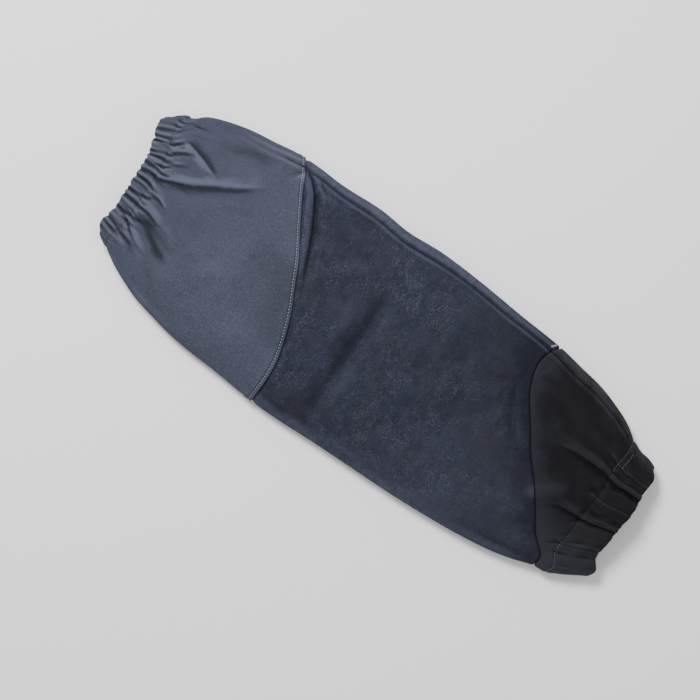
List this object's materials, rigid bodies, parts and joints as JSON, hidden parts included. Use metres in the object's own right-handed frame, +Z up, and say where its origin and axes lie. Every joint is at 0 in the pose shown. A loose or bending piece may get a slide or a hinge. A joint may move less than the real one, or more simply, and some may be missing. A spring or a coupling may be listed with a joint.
{
  "type": "welding sleeve",
  "caption": "Arm sleeve for welding: cotton upper arm, suede forearm and smooth cloth wrist, gathered by elastic in a casing at each open end.",
  "frame": {"origin": "under the middle of the sleeve's box, on the surface that it lies on", "axes": "+X from the upper-arm cuff to the wrist cuff, +Y towards the folded edge beside the closing seam, +Z up off the surface"},
  "size_m": [0.548, 0.207, 0.041],
  "materials": {
    "cotton_twill": "blue-grey flame-resistant cotton twill, soft sheen",
    "suede_leather": "dark navy-grey split suede with a mottled nap",
    "wrist_cloth": "smooth near-black cloth",
    "elastic_webbing": "black braided elastic, matt"
  },
  "bodies": {
    "root": {"upper_arm_panel": "cotton_twill", "forearm_panel": "suede_leather", "wrist_panel": "wrist_cloth", "upper_elastic": "elastic_webbing", "wrist_elastic": "elastic_webbing"}
  },
  "joints": []
}
